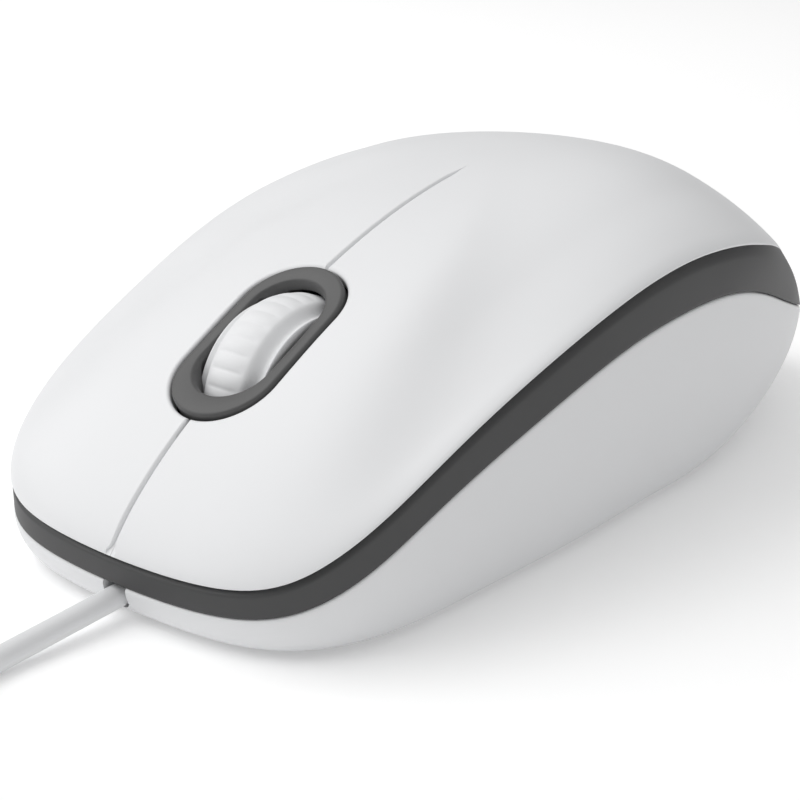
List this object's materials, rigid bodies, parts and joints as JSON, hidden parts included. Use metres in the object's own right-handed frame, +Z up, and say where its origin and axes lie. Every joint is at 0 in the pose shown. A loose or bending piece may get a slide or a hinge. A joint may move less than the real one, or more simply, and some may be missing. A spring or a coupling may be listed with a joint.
{
  "type": "computer mouse",
  "caption": "White corded optical mouse with a dark grey band round its waist, two long buttons, and a white ribbed scroll wheel in a grey ring.",
  "frame": {"origin": "on the desk plane under the middle of the body's outline, cord left out", "axes": "+Y towards the palm end, -Y towards the cord and buttons, +Z up, +X to the right-hand side seen from the cord end"},
  "size_m": [0.0604, 0.1895, 0.0375],
  "materials": {
    "white": "satin white moulded",
    "base_white": "satin white moulded",
    "band": "fine satin dark grey",
    "ring": "satin mid grey",
    "hub_white": "satin white moulded",
    "wheel_rubber": "matte white, ribbed",
    "black_plastic": "matte black",
    "cream_plastic": "natural moulded",
    "connector_white": "natural moulded",
    "board": "green solder mask",
    "lens": "clear polished",
    "led": "clear red",
    "slide": "smooth low-friction",
    "steel": "plated",
    "can": "satin",
    "resistor": "painted",
    "jacket": "soft satin cable jacket",
    "wire_black": "satin insulation",
    "wire_green": "satin insulation",
    "wire_red": "satin insulation",
    "wire_white": "satin insulation"
  },
  "bodies": {
    "body": {"board_header": "cream_plastic", "board_screw_left": "steel", "board_screw_right": "steel", "cable_coil": "jacket", "cable_grommet": "black_plastic", "cable_inner_end": "jacket", "capacitor": "can", "carriage_spring": "steel", "case_screw": "steel", "circuit_board": "board", "coil_strap": "black_plastic", "crystal": "can", "front_foot": "slide", "guide_pin_left": "steel", "guide_pin_right": "steel", "ir_detector": "black_plastic", "ir_emitter": "black_plastic", "lead_plug": "connector_white", "lead_wire_black": "wire_black", "lead_wire_green": "wire_green", "lead_wire_red": "wire_red", "lead_wire_white": "wire_white", "left_switch": "black_plastic", "lower_shell": "base_white", "middle_switch": "black_plastic", "palm_cover": "white", "plug_grip": "jacket", "plug_relief": "jacket", "plug_shell": "steel", "plug_tongue": "cream_plastic", "rear_foot": "slide", "resistor_1": "resistor", "resistor_2": "resistor", "resistor_3": "resistor", "right_switch": "black_plastic", "sensor_cap": "black_plastic", "sensor_chip": "black_plastic", "sensor_lens": "lens", "side_band": "band", "tracking_led": "led", "usb_cable": "jacket", "usb_cable_end": "jacket", "wheel_ring": "ring"},
    "left_button": {"left_button": "white"},
    "right_button": {"right_button": "white"},
    "left_plunger": {"left_plunger": "cream_plastic"},
    "right_plunger": {"right_plunger": "cream_plastic"},
    "wheel_carriage": {"wheel_carriage": "cream_plastic"},
    "wheel": {"wheel_hub": "hub_white", "wheel_tyre": "wheel_rubber"},
    "middle_plunger": {"middle_plunger": "cream_plastic"}
  },
  "joints": [
    {"name": "left_button_press", "type": "hinge", "parent": "body", "child": "left_button", "pos_m": [0, -0.001, 0.034], "axis": [1, 0, 0], "range_deg": [0, 0.6], "stiffness_Nm_per_rad": 1.2, "springref_deg": -0.57},
    {"name": "left_switch_travel", "type": "slide", "parent": "body", "child": "left_plunger", "axis": [0, 0, -1], "range_m": [0, 0.0004]},
    {"name": "right_button_press", "type": "hinge", "parent": "body", "child": "right_button", "pos_m": [0, -0.001, 0.034], "axis": [1, 0, 0], "range_deg": [0, 0.6], "stiffness_Nm_per_rad": 1.2, "springref_deg": -0.57},
    {"name": "right_switch_travel", "type": "slide", "parent": "body", "child": "right_plunger", "axis": [0, 0, -1], "range_m": [0, 0.0004]},
    {"name": "wheel_press", "type": "slide", "parent": "body", "child": "wheel_carriage", "axis": [0, 0, -1], "range_m": [0, 0.0005], "stiffness_N_per_m": 900, "springref_m": -0.0005, "deforming": ["carriage_spring"]},
    {"name": "wheel_spin", "type": "hinge", "parent": "wheel_carriage", "child": "wheel", "pos_m": [0, -0.0312, 0.0167], "axis": [1, 0, 0], "continuous": true},
    {"name": "middle_switch_travel", "type": "slide", "parent": "body", "child": "middle_plunger", "axis": [0, 0, -1], "range_m": [0, 0.0005]}
  ],
  "couplings": [
    {"joint": "left_switch_travel", "follows": "left_button_press", "m_per_rad": 0.0375},
    {"joint": "right_switch_travel", "follows": "right_button_press", "m_per_rad": 0.0375},
    {"joint": "middle_switch_travel", "follows": "wheel_press", "ratio": 1}
  ]
}
